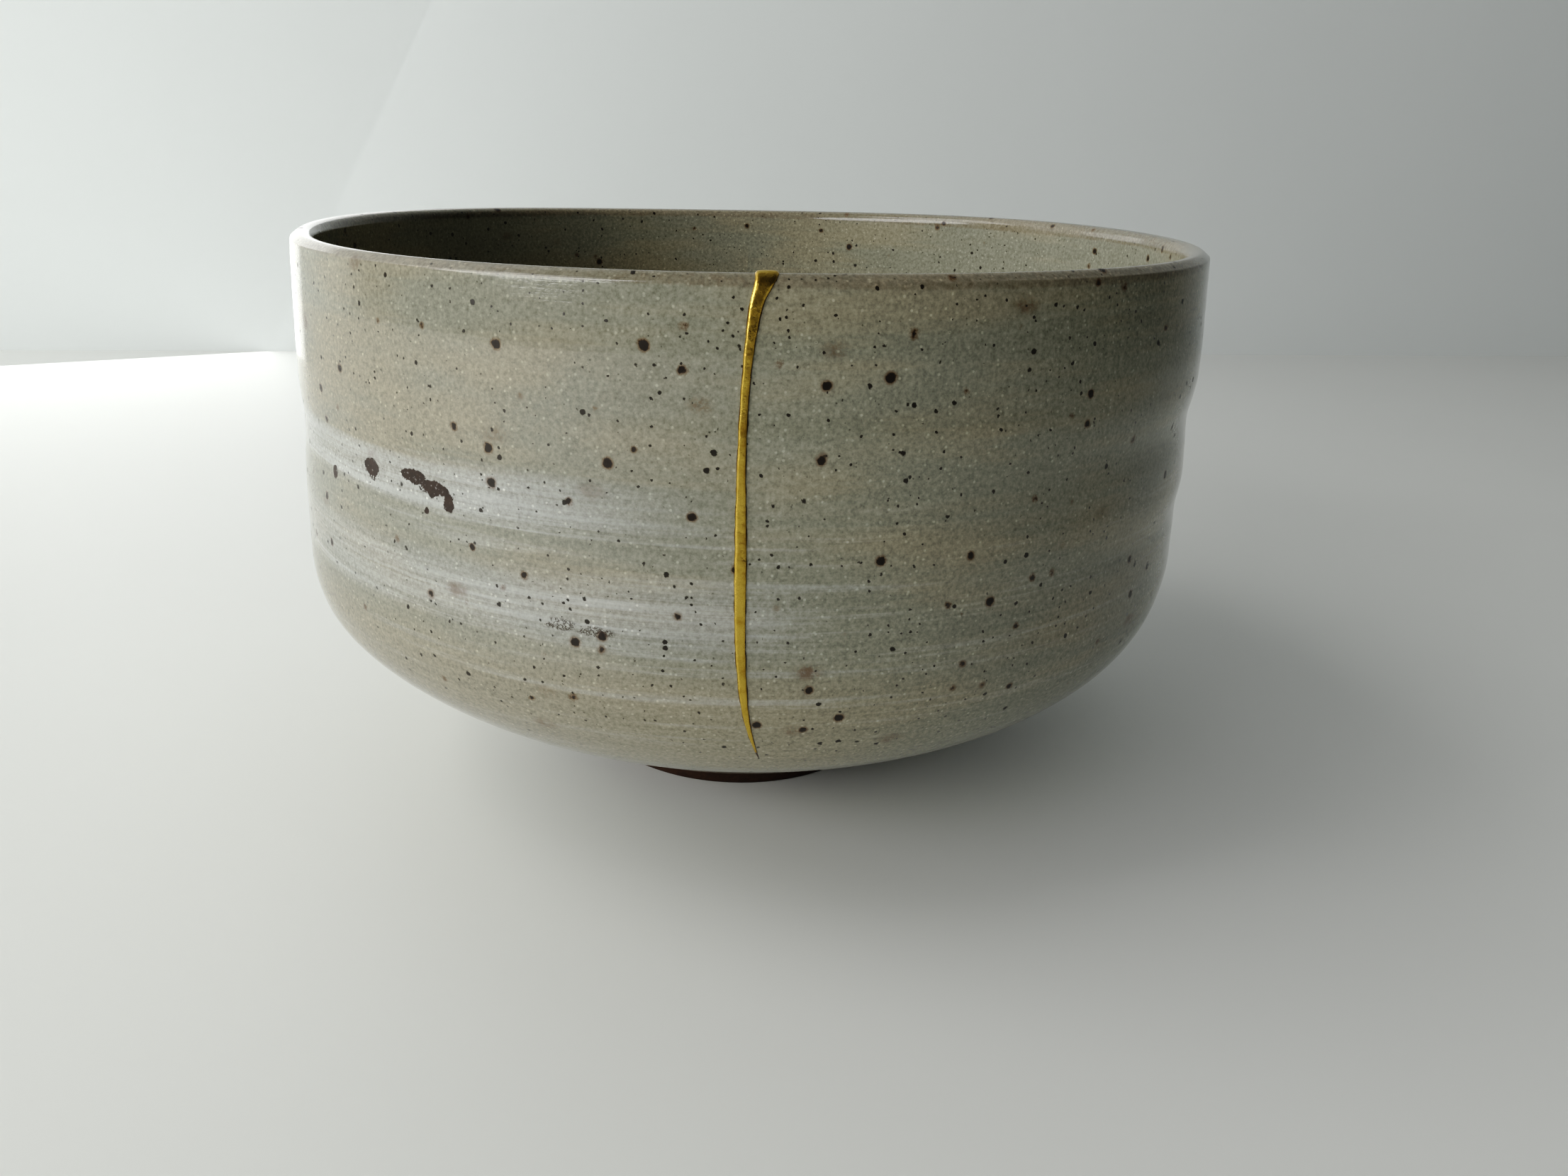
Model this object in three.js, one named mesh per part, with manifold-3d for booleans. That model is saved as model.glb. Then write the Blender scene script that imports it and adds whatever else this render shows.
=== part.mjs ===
// A hand-thrown stoneware tea bowl whose one crack is mended with a raised gold seam.
// Millimetres, +Z up. The origin lies on the table under the middle of the bowl, and the mended side faces -Y.
import * as THREE from "three";
import { mergeVertices } from "three/addons/utils/BufferGeometryUtils.js";
import Module from "manifold-3d";

const wasm = await Module();
wasm.setup();

// Driving dimensions of the thrown form: radii and heights of its section.
const HEIGHT = 76.6; // table to the crest of the lip
const CREST_RADIUS = 60;
const SHOULDER_RADIUS = 61.2; // the crisp outer edge of the lip
const SHOULDER_DROP = 0.9; // how far that edge lies under the crest
const NECK_RADIUS = 61.4; // outer wall just under the lip
const NECK_HEIGHT = 73.5;
const BELLY_RADIUS = 62.8;
const BELLY_HEIGHT = 37;
const BELLY_RISE = 11; // how far above the belly the wall starts to lean in
const CONE_TOP = { radius: 50.8, height: 18.6 }; // where the heel runs out into the sloping underside
const CONE_FOOT = { radius: 36, height: 9.35 }; // where that slope starts to level out
const CONE_SLOPE = (CONE_TOP.height - CONE_FOOT.height) / (CONE_TOP.radius - CONE_FOOT.radius);

const FOOT_RADIUS = 23.5;
const FOOT_HEIGHT = 5.6; // where the foot ring meets the underside
const FOOT_TOP_RADIUS = 24.7; // the foot ring is a little wider at its top
const FOOT_FILLET = 1;
const FOOT_EDGE = 0.6; // worn edges of the foot ring
const FOOT_HOLLOW_RADIUS = 18.4;
const FOOT_HOLLOW_DEPTH = 5;
const FOOT_HOLLOW_ROUND = 1.4;

const LIP_INSIDE_RADIUS = 58.3;
const LIP_INSIDE_DROP = 1.5;
const WALL = 4.1; // thickness at the belly
const INSIDE_HEEL_HEIGHT = 42; // where the inside starts to round in towards the base
const INSIDE_CONE_TOP_RADIUS = 46.8;
const BASE_WALL = 4.8; // thickness of the sloping base, measured square to it
const FLOOR_HEIGHT = 11.5;
const FLOOR_RADIUS = 22; // the level middle of the inside

const SIDES = 60; // facets around the bowl

// What the throwing hand leaves: soft rings outside, a rim slightly out of round, and a lip that rides up and
// down. The rings are deepest on the right of the mended side.
const RING_DEPTH = 0.24;
const RING_FADE = 0.4; // the share of that depth lost at the mended side, and twice that on its left
const RING_SPACING = 13;
const RING_CREST_HEIGHT = 47;
const RING_BAND = { from: 26, full: 36, fading: 62, to: NECK_HEIGHT };
const OUT_OF_ROUND = 0.25;
const LIP_WAVE = 0.2;
const LIP_WAVE_COUNT = 3;
const LIP_WAVE_FROM = 55; // height at which the wall starts to follow the lip's wave

// The mended crack. Each station gives the way along the section from the crest of the lip (down the outside is
// positive, down the inside negative), the sway to the right of the middle of the mended side, and the width.
const SEAM_STATIONS = [
  [51.5, 2.4, 0.2],
  [46, 1.3, 0.6],
  [41.5, 0.7, 0.9],
  [36, 0.3, 1.1],
  [27, 0.1, 1.2],
  [17, -0.05, 0.85],
  [9.5, 0.2, 0.85],
  [3.6, 0.85, 1.25],
  [1.2, 1.65, 1.9],
  [0, 1.8, 2.2],
  [-2, 1.9, 1.9],
  [-6, 1.3, 1.2],
  [-16, 0.6, 0.9],
  [-30, 0.9, 0.9],
  [-40, 1.8, 0.2],
];
const STEPS_PER_STATION = 5;
const SEAM_CROWN = 0.3; // how proud the gold stands
const SEAM_ROOT = 0.5; // how deep it sits in the clay
const SEAM_SQUARENESS = 0.25; // the part of the crown that stands already at the gold's edge
const GAP = 0.3; // room between the gold and the groove around it
const CUT_CLEAR = 1; // how far the groove's cutter stands out of the wall
const SQUARE_REACH = 0.5; // half the stretch of wall that a direction out of the clay is taken over

const { smoothstep } = THREE.MathUtils;
const at = (radius, height) => new THREE.Vector2(radius, height);

// Follows straight stretches, { to }, and curved ones, { bend, to, steps }, and returns the points passed.
function follow(start, stretches) {
  const points = [start];
  for (const { bend, to, steps = 1 } of stretches) {
    const from = points.at(-1);
    const stretch = bend ? new THREE.QuadraticBezierCurve(from, bend, to) : new THREE.LineCurve(from, to);
    points.push(...stretch.getPoints(steps).slice(1));
  }
  return points;
}

// The underside and the foot ring, from the axis out to the foot of the sloping base.
function footOutline() {
  const hollowTop = FOOT_HOLLOW_DEPTH - FOOT_HOLLOW_ROUND;
  const coneCorner = CONE_FOOT.radius - (CONE_FOOT.height - FOOT_HEIGHT) / CONE_SLOPE;
  return follow(at(0, FOOT_HOLLOW_DEPTH), [
    { to: at(FOOT_HOLLOW_RADIUS - FOOT_HOLLOW_ROUND, FOOT_HOLLOW_DEPTH) },
    { bend: at(FOOT_HOLLOW_RADIUS, FOOT_HOLLOW_DEPTH), to: at(FOOT_HOLLOW_RADIUS, hollowTop), steps: 2 },
    { to: at(FOOT_HOLLOW_RADIUS, FOOT_EDGE) },
    { to: at(FOOT_HOLLOW_RADIUS + FOOT_EDGE, 0) },
    { to: at(FOOT_RADIUS - FOOT_EDGE, 0) },
    { to: at(FOOT_RADIUS, FOOT_EDGE) },
    { to: at(FOOT_TOP_RADIUS, FOOT_HEIGHT - FOOT_FILLET) },
    { bend: at(FOOT_TOP_RADIUS, FOOT_HEIGHT), to: at(FOOT_TOP_RADIUS + FOOT_FILLET, FOOT_HEIGHT), steps: 2 },
    { bend: at(coneCorner, FOOT_HEIGHT), to: at(CONE_FOOT.radius, CONE_FOOT.height), steps: 4 },
  ]);
}

// The outside from the foot of the sloping base over the heel and the belly to the crest of the lip.
function outerOutline() {
  const heelCorner = CONE_FOOT.height + CONE_SLOPE * (BELLY_RADIUS - CONE_FOOT.radius);
  return follow(at(CONE_FOOT.radius, CONE_FOOT.height), [
    { to: at(CONE_TOP.radius, CONE_TOP.height), steps: 3 },
    { bend: at(BELLY_RADIUS, heelCorner), to: at(BELLY_RADIUS, BELLY_HEIGHT), steps: 7 },
    { bend: at(BELLY_RADIUS, BELLY_HEIGHT + BELLY_RISE), to: at(NECK_RADIUS, NECK_HEIGHT), steps: 13 },
    { to: at(SHOULDER_RADIUS, HEIGHT - SHOULDER_DROP) },
    { bend: at(SHOULDER_RADIUS, HEIGHT), to: at(CREST_RADIUS, HEIGHT), steps: 3 },
  ]);
}

// The inside from the crest of the lip down the wall and over the sloping base to the axis.
function innerOutline() {
  const wallRadius = BELLY_RADIUS - WALL;
  const baseLift = BASE_WALL / Math.cos(Math.atan(CONE_SLOPE));
  const baseAt = (radius) => at(radius, CONE_FOOT.height + CONE_SLOPE * (radius - CONE_FOOT.radius) + baseLift);
  const floorCorner = CONE_FOOT.radius + (FLOOR_HEIGHT - baseAt(CONE_FOOT.radius).y) / CONE_SLOPE;
  const wallMiddle = (HEIGHT + INSIDE_HEEL_HEIGHT) / 2;
  return follow(at(CREST_RADIUS, HEIGHT), [
    { bend: at(LIP_INSIDE_RADIUS, HEIGHT), to: at(LIP_INSIDE_RADIUS, HEIGHT - LIP_INSIDE_DROP), steps: 3 },
    { bend: at(LIP_INSIDE_RADIUS, wallMiddle), to: at(wallRadius, INSIDE_HEEL_HEIGHT), steps: 4 },
    { bend: baseAt(wallRadius), to: baseAt(INSIDE_CONE_TOP_RADIUS), steps: 5 },
    { to: baseAt(CONE_FOOT.radius) },
    { bend: at(floorCorner, FLOOR_HEIGHT), to: at(FLOOR_RADIUS, FLOOR_HEIGHT), steps: 3 },
    { to: at(0, FLOOR_HEIGHT) },
  ]);
}

// Moves a point of the true turned form to where the hand left it.
function handThrown(point, outside) {
  const azimuth = Math.atan2(point.x, -point.y);
  const radius = Math.hypot(point.x, point.y);
  const { z } = point;
  const { from, full, fading, to } = RING_BAND;
  const inBand = smoothstep(z, from, full) * (1 - smoothstep(z, fading, to));
  const depth = RING_DEPTH * (1 - RING_FADE + RING_FADE * Math.sin(azimuth)) * inBand;
  const ring = depth * Math.cos((2 * Math.PI * (z - RING_CREST_HEIGHT)) / RING_SPACING);
  const oval = OUT_OF_ROUND * smoothstep(z, 0, HEIGHT) * Math.sin(2 * azimuth);
  const moved = radius + oval + (outside ? ring : 0);
  const wave = LIP_WAVE * smoothstep(z, LIP_WAVE_FROM, HEIGHT) * Math.sin(LIP_WAVE_COUNT * azimuth + 1);
  return point.set(Math.sin(azimuth) * moved, -Math.cos(azimuth) * moved, z + wave);
}

// Runs a function over every vertex of a geometry, with the vertex's number.
function reshape(geometry, change) {
  const { position } = geometry.attributes;
  const point = new THREE.Vector3();
  for (let i = 0; i < position.count; i += 1) {
    change(point.fromBufferAttribute(position, i), i);
    position.setXYZ(i, point.x, point.y, point.z);
  }
  return geometry;
}

// A closed solid from a geometry, once its doubled vertices are one and its collapsed triangles are gone.
function solidOf(geometry) {
  geometry.deleteAttribute("normal");
  geometry.deleteAttribute("uv");
  const merged = mergeVertices(geometry);
  const corners = merged.index.array;
  const triangles = [];
  for (let i = 0; i < corners.length; i += 3) {
    const [a, b, c] = corners.slice(i, i + 3);
    if (a !== b && b !== c && a !== c) {
      triangles.push(a, b, c);
    }
  }
  const vertProperties = Float32Array.from(merged.attributes.position.array);
  const triVerts = Uint32Array.from(triangles);
  return new wasm.Manifold(new wasm.Mesh({ numProp: 3, vertProperties, triVerts }));
}

function geometryOf(solid) {
  const { vertProperties, triVerts } = solid.getMesh();
  const geometry = new THREE.BufferGeometry();
  geometry.setAttribute("position", new THREE.BufferAttribute(vertProperties, 3));
  geometry.setIndex(new THREE.BufferAttribute(triVerts, 1));
  const faceted = geometry.toNonIndexed();
  faceted.computeVertexNormals();
  return faceted;
}

const outer = outerOutline();
const inner = innerOutline();

// The whole section turned round the axis. Everything before the crest of the lip is the outside.
function thrownForm() {
  const foot = footOutline();
  const section = [...foot, ...outer.slice(1), ...inner.slice(1)];
  const outsideCount = foot.length + outer.length - 1;
  const turned = new THREE.LatheGeometry(section, SIDES).rotateX(Math.PI / 2);
  return solidOf(reshape(turned, (point, i) => handThrown(point, i % section.length < outsideCount)));
}

// A place on the wall's section, a given way along it from the crest of the lip.
function wallAt(way) {
  const side = way > 0 ? outer.toReversed() : inner;
  let left = Math.abs(way);
  let k = 0;
  while (k < side.length - 2 && left > side[k].distanceTo(side[k + 1])) {
    left -= side[k].distanceTo(side[k + 1]);
    k += 1;
  }
  return side[k].clone().lerp(side[k + 1], left / side[k].distanceTo(side[k + 1]));
}

// The direction square to the wall, out of the clay, at a given way along its section.
function outOfClay(way) {
  const along = wallAt(way + SQUARE_REACH).sub(wallAt(way - SQUARE_REACH)).normalize();
  return at(-along.y, along.x);
}

// A box bent onto the wall along the crack. Its x runs across the seam, y along it and z out of the clay.
// It is wider and longer than the crack by grow on every side, and crownAt gives its height across the seam.
function alongCrack(across, grow, root, crownAt) {
  const steps = (SEAM_STATIONS.length - 1) * STEPS_PER_STATION;
  const route = new THREE.CatmullRomCurve3(SEAM_STATIONS.map((station) => new THREE.Vector3(...station)));
  const box = new THREE.BoxGeometry(1, 1, 1, across, steps, 1);
  return solidOf(
    reshape(box, (point) => {
      const { x: onRoute, y: sway, z: width } = route.getPoint(point.y + 0.5);
      const atEnd = Math.abs(point.y) === 0.5 ? 2 * point.y : 0;
      const way = onRoute - atEnd * grow;
      const place = wallAt(way);
      const out = outOfClay(way);
      const height = point.z > 0 ? crownAt(2 * point.x) : -root;
      const azimuth = (sway + point.x * (width + 2 * grow)) / place.x;
      const radius = place.x + out.x * height;
      point.set(Math.sin(azimuth) * radius, -Math.cos(azimuth) * radius, place.y + out.y * height);
      handThrown(point, way > 0);
    }),
  );
}

function goldSeam() {
  const crown = (x) => SEAM_CROWN * (SEAM_SQUARENESS + (1 - SEAM_SQUARENESS) * (1 - x * x));
  return alongCrack(4, 0, SEAM_ROOT, crown);
}

function crackGroove() {
  return alongCrack(1, GAP, SEAM_ROOT + GAP, () => CUT_CLEAR);
}

const stoneware = new THREE.MeshStandardMaterial({ color: "#a09d8b", roughness: 0.38, metalness: 0 });
const gold = new THREE.MeshStandardMaterial({ color: "#c49a3a", roughness: 0.32, metalness: 1 });

function part(name, solid, material) {
  const mesh = new THREE.Mesh(geometryOf(solid), material);
  mesh.name = name;
  return mesh;
}

const kintsugiBowl = new THREE.Group();
kintsugiBowl.add(part("bowl", thrownForm().subtract(crackGroove()), stoneware));
kintsugiBowl.add(part("gold_seam", goldSeam(), gold));

export default kintsugiBowl;
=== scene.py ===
"""A glazed, hand-thrown stoneware tea bowl with one crack mended in gold, on a plain table by a window.

Geometry is in metres, +Z up. The bowl stands on the table with its axis on Z, and its mended side faces -Y.
Azimuth is measured round the bowl from that side, growing to the right.
"""

from bisect import bisect_right
from math import atan, atan2, ceil, cos, degrees, exp, hypot, pi, radians, sin, tau

import bmesh
import bpy
from mathutils import Matrix, Vector, noise


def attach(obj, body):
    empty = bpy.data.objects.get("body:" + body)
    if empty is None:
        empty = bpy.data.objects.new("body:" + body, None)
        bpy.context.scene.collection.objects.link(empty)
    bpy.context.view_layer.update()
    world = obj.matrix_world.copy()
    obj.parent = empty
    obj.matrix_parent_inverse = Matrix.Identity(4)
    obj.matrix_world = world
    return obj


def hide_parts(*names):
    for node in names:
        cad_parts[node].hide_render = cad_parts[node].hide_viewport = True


bl_info = {
    "name": "Kintsugi tea bowl",
    "version": (1, 0, 0),
    "blender": (4, 5, 0),
    "location": "View3D > Sidebar > Tea bowl",
    "description": "Builds a mended stoneware tea bowl and the table it stands on",
    "category": "Add Mesh",
}

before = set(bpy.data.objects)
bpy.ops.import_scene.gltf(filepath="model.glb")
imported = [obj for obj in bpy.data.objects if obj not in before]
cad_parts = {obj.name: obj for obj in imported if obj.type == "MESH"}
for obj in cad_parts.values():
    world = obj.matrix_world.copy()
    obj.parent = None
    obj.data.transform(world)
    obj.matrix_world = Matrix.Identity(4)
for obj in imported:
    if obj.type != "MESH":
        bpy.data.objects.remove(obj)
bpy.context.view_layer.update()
MM = 0.001

# The thrown section: what stays the same whatever size the bowl is given.
SHOULDER_DROP = 0.9 * MM  # the crisp outer edge of the lip lies this far under its crest
SHOULDER_OUT = 1.2 * MM
SHOULDER_ROUND = 0.22 * MM
LIP_SLOPE_START = Vector((-0.2, 0.3)) * MM  # where the rounded shoulder runs out into the top of the lip
NECK_OUT = 1.4 * MM
NECK_DROP = 3.1 * MM
BELLY_RISE = 11 * MM
CONE_TOP = Vector((50.8, 18.6)) * MM
CONE_FOOT = Vector((36, 9.35)) * MM
CONE_SLOPE = (CONE_TOP.y - CONE_FOOT.y) / (CONE_TOP.x - CONE_FOOT.x)
FOOT_FLARE = 1.2 * MM
FOOT_FILLET = 1 * MM
FOOT_EDGE = 0.6 * MM
FOOT_WALL = 5.1 * MM
FOOT_HOLLOW_DEPTH = 5 * MM
FOOT_HOLLOW_ROUND = 1.4 * MM
LIP_INSIDE = 1.7 * MM
LIP_INSIDE_DROP = 1.5 * MM
INSIDE_HEEL_HEIGHT = 42 * MM
INSIDE_CONE_TOP_RADIUS = 46.8 * MM
BASE_WALL = 4.8 * MM
FLOOR_RADIUS = 22 * MM

# What the hand leaves in the wall.
RING_FADE = 0.5
RING_CREST_HEIGHT = 47 * MM
RING_BAND = (26 * MM, 36 * MM, 62 * MM, 73.5 * MM)
OUT_OF_ROUND = 0.25 * MM
LIP_WAVE = 0.2 * MM
LIP_WAVE_COUNT = 3
LIP_WAVE_FROM = 55 * MM
LIP_LEAN = Vector((0.45, 0.35, -0.22, -0.15)) * MM  # the lip stands higher at the back right
LIP_LEAN_FROM = 40 * MM

# Where the wall swells or is pressed in by hand: azimuth in degrees, height in millimetres, half the turn in
# degrees and half the height in millimetres that it reaches, and how far out it goes in millimetres.
SWELLINGS = (
    (62, 65.5, 40, 3.6, 0.42),
    (62, 57.4, 40, 3.0, -0.50),
    (62, 45.8, 42, 3.2, -0.62),
    (62, 34.2, 40, 3.0, -0.42),
    (-62, 52.6, 32, 4.8, -0.50),
    (-62, 28.6, 34, 6.0, 0.80),
    (-16, 68.5, 22, 4.6, 0.20),
)

# How finely the bowl is made: spacing along the section, steps round it, and how much closer the steps lie
# on the mended side than at the back.
FINE = 0.6 * MM
COARSE = 1.6 * MM
TURN_STEPS = 360
TURN_CROWDING = 0.35

# Small marks in the wall: azimuth in degrees, height, radius and depth in millimetres. A negative depth is
# a bump.
DENTS = (
    (-32.6, 53.6, 1.9, 0.10),
    (-30.2, 52.4, 1.0, 0.08),
    (-41.5, 53.4, 1.3, 0.08),
    (34.0, 46.7, 1.0, 0.12),
    (21.2, 39.0, 0.9, 0.12),
    (20.0, 38.6, 0.7, -0.10),
    (17.9, 66.2, 0.6, 0.10),
    (17.3, 66.0, 0.5, -0.10),
)

# The mended crack. Each station gives the way along the section from the crest of the lip (down the outside
# is positive, down the inside negative), the sway to the right of the middle of the mended side, and the
# width, in millimetres.
SEAM_STATIONS = (
    (-40, 1.8, 0.2),
    (-30, 0.9, 0.9),
    (-16, 0.6, 0.9),
    (-6, 1.3, 1.2),
    (-2, 1.9, 1.9),
    (0, 1.8, 2.2),
    (1.2, 1.65, 1.9),
    (3.6, 0.85, 1.25),
    (9.5, 0.2, 0.85),
    (17, -0.05, 0.85),
    (27, 0.1, 1.2),
    (36, 0.3, 1.1),
    (41.5, 0.7, 0.9),
    (46, 1.3, 0.6),
    (51.5, 2.4, 0.2),
)
SEAM_SPACING = 0.25 * MM
SEAM_ACROSS = 14
SEAM_ROOT = 0.5 * MM
SQUARE_REACH = 0.5 * MM
GOLD_SQUARENESS = 4
LACQUER_SKIRT = 0.05 * MM  # how far the lacquer shows at each side of the gold
LACQUER_PROUD = 0.04 * MM
LACQUER_PAST_TIP = 1.9 * MM


def smoothstep(value, low, high):
    share = min(max((value - low) / (high - low), 0), 1)
    return share * share * (3 - 2 * share)


# ---------------------------------------------------------------- sizes and colours that a user may change


def length(name, description, default):
    return bpy.props.FloatProperty(
        name=name, description=description, default=default, min=0, unit="LENGTH", precision=5
    )


def colour(name, description, default):
    return bpy.props.FloatVectorProperty(
        name=name, description=description, default=default, size=3, min=0, max=1, subtype="COLOR"
    )


def share(name, description, default):
    return bpy.props.FloatProperty(
        name=name, description=description, default=default, min=0, max=1, subtype="FACTOR"
    )


class BowlForm(bpy.types.PropertyGroup):
    height: length("Height", "Table to the crest of the lip", 76.6 * MM)
    belly_radius: length("Belly radius", "Widest radius of the outside", 62.8 * MM)
    belly_height: length("Belly height", "Height of the widest place", 37 * MM)
    crest_radius: length("Lip radius", "Radius of the lip's crest", 60 * MM)
    foot_radius: length("Foot radius", "Radius of the foot ring where it stands", 23.5 * MM)
    foot_height: length("Foot height", "Height of the foot ring", 5.6 * MM)
    wall: length("Wall", "Thickness of the wall at the belly", 4.1 * MM)
    floor_height: length("Floor height", "Height of the inside of the bowl at its middle", 11.5 * MM)
    ring_depth: length("Ring depth", "Depth of the throwing rings outside", 0.24 * MM)
    ring_spacing: length("Ring spacing", "Height from one throwing ring to the next", 13 * MM)
    mark_depth: length("Mark depth", "Depth of the fine marks of the throwing hand", 0.035 * MM)


class GlazeLook(bpy.types.PropertyGroup):
    grey: colour("Grey", "The glaze where it lies evenly", (0.256, 0.254, 0.201))
    beige: colour("Beige", "The glaze where the clay warms it", (0.290, 0.264, 0.193))
    pale: colour("Pale", "Bands where the glaze lies thick", (0.425, 0.432, 0.412))
    lip: colour("Lip", "The glaze where it thins over the lip", (0.19, 0.16, 0.115))
    speck: colour("Iron speck", "The middle of an iron speck", (0.012, 0.007, 0.004))
    rust: colour("Rust", "The edge of an iron speck", (0.10, 0.04, 0.012))
    clay: colour("Clay", "Unglazed clay of the foot", (0.045, 0.022, 0.012))
    crust: colour("Crust", "Bare clay where the glaze skipped", (0.028, 0.014, 0.008))
    gloss: share("Roughness", "Roughness of the glaze", 0.08)


class SeamLook(bpy.types.PropertyGroup):
    crown: length("Crown", "How proud the gold stands", 0.24 * MM)
    gold: colour("Gold", "The mended seam", (0.60, 0.41, 0.10))
    deep_gold: colour("Deep gold", "The seam where its powder lies thin", (0.34, 0.19, 0.03))
    lacquer: colour("Lacquer", "The lacquer under the gold", (0.05, 0.022, 0.012))


class StudioLook(bpy.types.PropertyGroup):
    table: colour("Table", "The table top", (0.76, 0.77, 0.75))
    wall: colour("Wall", "The wall behind", (0.76, 0.79, 0.785))
    wall_distance: length("Wall distance", "From the bowl's axis to the wall behind", 0.356)
    eye_distance: length("Eye distance", "From the bowl's axis to the camera", 0.1629)
    eye_height: length("Eye height", "Height of the camera", 0.0868)


class TeaBowlSettings(bpy.types.PropertyGroup):
    form: bpy.props.PointerProperty(type=BowlForm)
    glaze: bpy.props.PointerProperty(type=GlazeLook)
    seam: bpy.props.PointerProperty(type=SeamLook)
    studio: bpy.props.PointerProperty(type=StudioLook)


# ---------------------------------------------------------------- the thrown section


def follow(start, stretches, spacing):
    """The points passed from start along stretches, each a corner to round (or None) and an end."""
    points = [start]
    for corner, end in stretches:
        first = points[-1]
        corner = corner or first.lerp(end, 0.5)
        steps = ceil(((corner - first).length + (end - corner).length) / spacing)
        for step in range(1, steps + 1):
            way = step / steps
            points.append(first.lerp(corner, way).lerp(corner.lerp(end, way), way))
    return points


def at(radius, height):
    return Vector((radius, height))


def foot_outline(form):
    """The underside and the foot ring, from the axis out to the foot of the sloping base."""
    hollow = form.foot_radius - FOOT_WALL
    hollow_top = FOOT_HOLLOW_DEPTH - FOOT_HOLLOW_ROUND
    cone_corner = CONE_FOOT.x - (CONE_FOOT.y - form.foot_height) / CONE_SLOPE
    ring_top = form.foot_radius + FOOT_FLARE
    return follow(
        at(0, FOOT_HOLLOW_DEPTH),
        [
            (None, at(hollow - FOOT_HOLLOW_ROUND, FOOT_HOLLOW_DEPTH)),
            (at(hollow, FOOT_HOLLOW_DEPTH), at(hollow, hollow_top)),
            (None, at(hollow, FOOT_EDGE)),
            (at(hollow, 0), at(hollow + FOOT_EDGE, 0)),
            (None, at(form.foot_radius - FOOT_EDGE, 0)),
            (at(form.foot_radius, 0), at(form.foot_radius, FOOT_EDGE)),
            (None, at(ring_top, form.foot_height - FOOT_FILLET)),
            (at(ring_top, form.foot_height), at(ring_top + FOOT_FILLET, form.foot_height)),
            (at(cone_corner, form.foot_height), CONE_FOOT),
        ],
        COARSE * 0.7,
    )


def outer_outline(form):
    """The outside from the foot of the sloping base over the heel and the belly to the crest of the lip."""
    heel_corner = CONE_FOOT.y + CONE_SLOPE * (form.belly_radius - CONE_FOOT.x)
    shoulder = form.crest_radius + SHOULDER_OUT
    edge_height = form.height - SHOULDER_DROP
    wall = follow(
        CONE_FOOT,
        [
            (None, CONE_TOP),
            (at(form.belly_radius, heel_corner), at(form.belly_radius, form.belly_height)),
            (
                at(form.belly_radius, form.belly_height + BELLY_RISE),
                at(form.crest_radius + NECK_OUT, form.height - NECK_DROP),
            ),
            (None, at(shoulder, edge_height)),
        ],
        FINE,
    )
    lip = follow(
        wall[-1],
        [
            (at(shoulder, edge_height + SHOULDER_ROUND), at(shoulder, edge_height) + LIP_SLOPE_START),
            (at(form.crest_radius + LIP_SLOPE_START.y, form.height), at(form.crest_radius, form.height)),
        ],
        FINE / 4,
    )
    return wall + lip[1:]


def inner_outline(form):
    """The inside from the crest of the lip down the wall and over the sloping base to the axis."""
    wall_radius = form.belly_radius - form.wall
    lip_radius = form.crest_radius - LIP_INSIDE
    base_lift = BASE_WALL / cos(atan(CONE_SLOPE))

    def base_at(radius):
        return at(radius, CONE_FOOT.y + CONE_SLOPE * (radius - CONE_FOOT.x) + base_lift)

    floor_corner = CONE_FOOT.x + (form.floor_height - base_at(CONE_FOOT.x).y) / CONE_SLOPE
    wall_middle = (form.height + INSIDE_HEEL_HEIGHT) / 2
    lip = follow(
        at(form.crest_radius, form.height),
        [(at(lip_radius, form.height), at(lip_radius, form.height - LIP_INSIDE_DROP))],
        FINE,
    )
    return lip + follow(
        lip[-1],
        [
            (at(lip_radius, wall_middle), at(wall_radius, INSIDE_HEEL_HEIGHT)),
            (base_at(wall_radius), base_at(INSIDE_CONE_TOP_RADIUS)),
            (None, base_at(CONE_FOOT.x)),
            (at(floor_corner, form.floor_height), at(FLOOR_RADIUS, form.floor_height)),
            (None, at(0, form.floor_height)),
        ],
        COARSE,
    )[1:]


def swelling(azimuth, height):
    """How far the wall swells at a place, in millimetres."""
    out = 0
    for turn, level, half_turn, half_height, amount in SWELLINGS:
        across = (azimuth - turn + 180) % 360 - 180
        up = height - level
        if abs(across) < 2.5 * half_turn and abs(up) < 2.5 * half_height:
            out += amount * exp(-((across / half_turn) ** 2) - (up / half_height) ** 2)
    return out


def hand_thrown(form, point, outside):
    """Where the hand left a point of the true turned form."""
    azimuth = atan2(point.x, -point.y)
    z = point.z
    start, full, fading, end = RING_BAND
    in_band = smoothstep(z, start, full) * (1 - smoothstep(z, fading, end))
    depth = form.ring_depth * (1 - RING_FADE + RING_FADE * sin(azimuth)) * in_band
    ring = depth * cos(tau * (z - RING_CREST_HEIGHT) / form.ring_spacing)
    oval = OUT_OF_ROUND * smoothstep(z, 0, form.height) * sin(2 * azimuth)
    moved = hypot(point.x, point.y) + oval + (ring if outside else 0)
    if outside:
        moved += swelling(degrees(azimuth), z / MM) * MM
    wave = LIP_WAVE * smoothstep(z, LIP_WAVE_FROM, form.height) * sin(LIP_WAVE_COUNT * azimuth + 1)
    lean = LIP_LEAN.dot(Vector((1, sin(azimuth), cos(azimuth), cos(2 * azimuth))))
    lean *= smoothstep(z, LIP_LEAN_FROM, form.height)
    return Vector((sin(azimuth) * moved, -cos(azimuth) * moved, z + wave + lean))


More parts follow.
